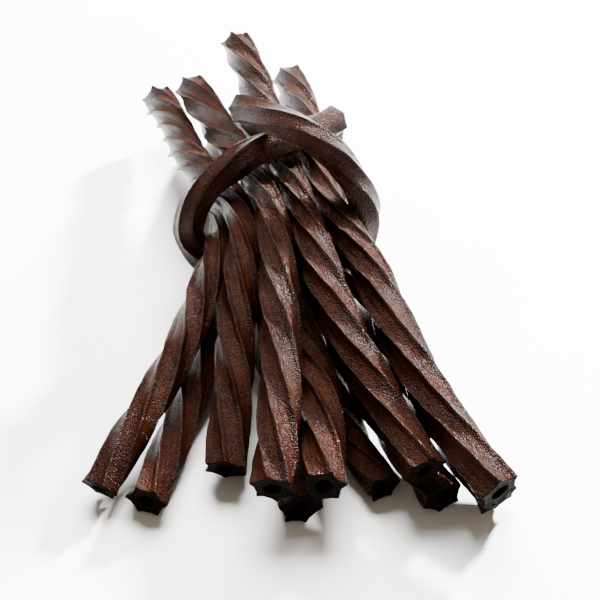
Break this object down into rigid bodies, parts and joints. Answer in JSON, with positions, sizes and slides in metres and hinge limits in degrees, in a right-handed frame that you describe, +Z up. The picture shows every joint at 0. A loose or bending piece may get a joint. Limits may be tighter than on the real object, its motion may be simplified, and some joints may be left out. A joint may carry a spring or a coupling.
{
  "type": "bundle of chocolate liquorice twists",
  "caption": "Fanned bundle of ribbed, hollow chocolate liquorice twists lying on a table, held round the middle by one more twist knotted over the top.",
  "frame": {"origin": "middle of the outline on the table, under the bundle", "axes": "+Z up, -Y towards the fanned cut ends, +Y towards the ends behind the tie, X across the bundle"},
  "size_m": [0.1266, 0.2118, 0.0703],
  "materials": {
    "chocolate": "glossy"
  },
  "bodies": {
    "root": {"twist_a": "chocolate", "twist_b": "chocolate", "twist_c": "chocolate", "twist_d": "chocolate", "twist_e": "chocolate", "twist_f": "chocolate", "twist_g": "chocolate", "twist_h": "chocolate", "twist_i": "chocolate", "twist_j": "chocolate", "twist_k": "chocolate", "tie": "chocolate"}
  },
  "joints": []
}
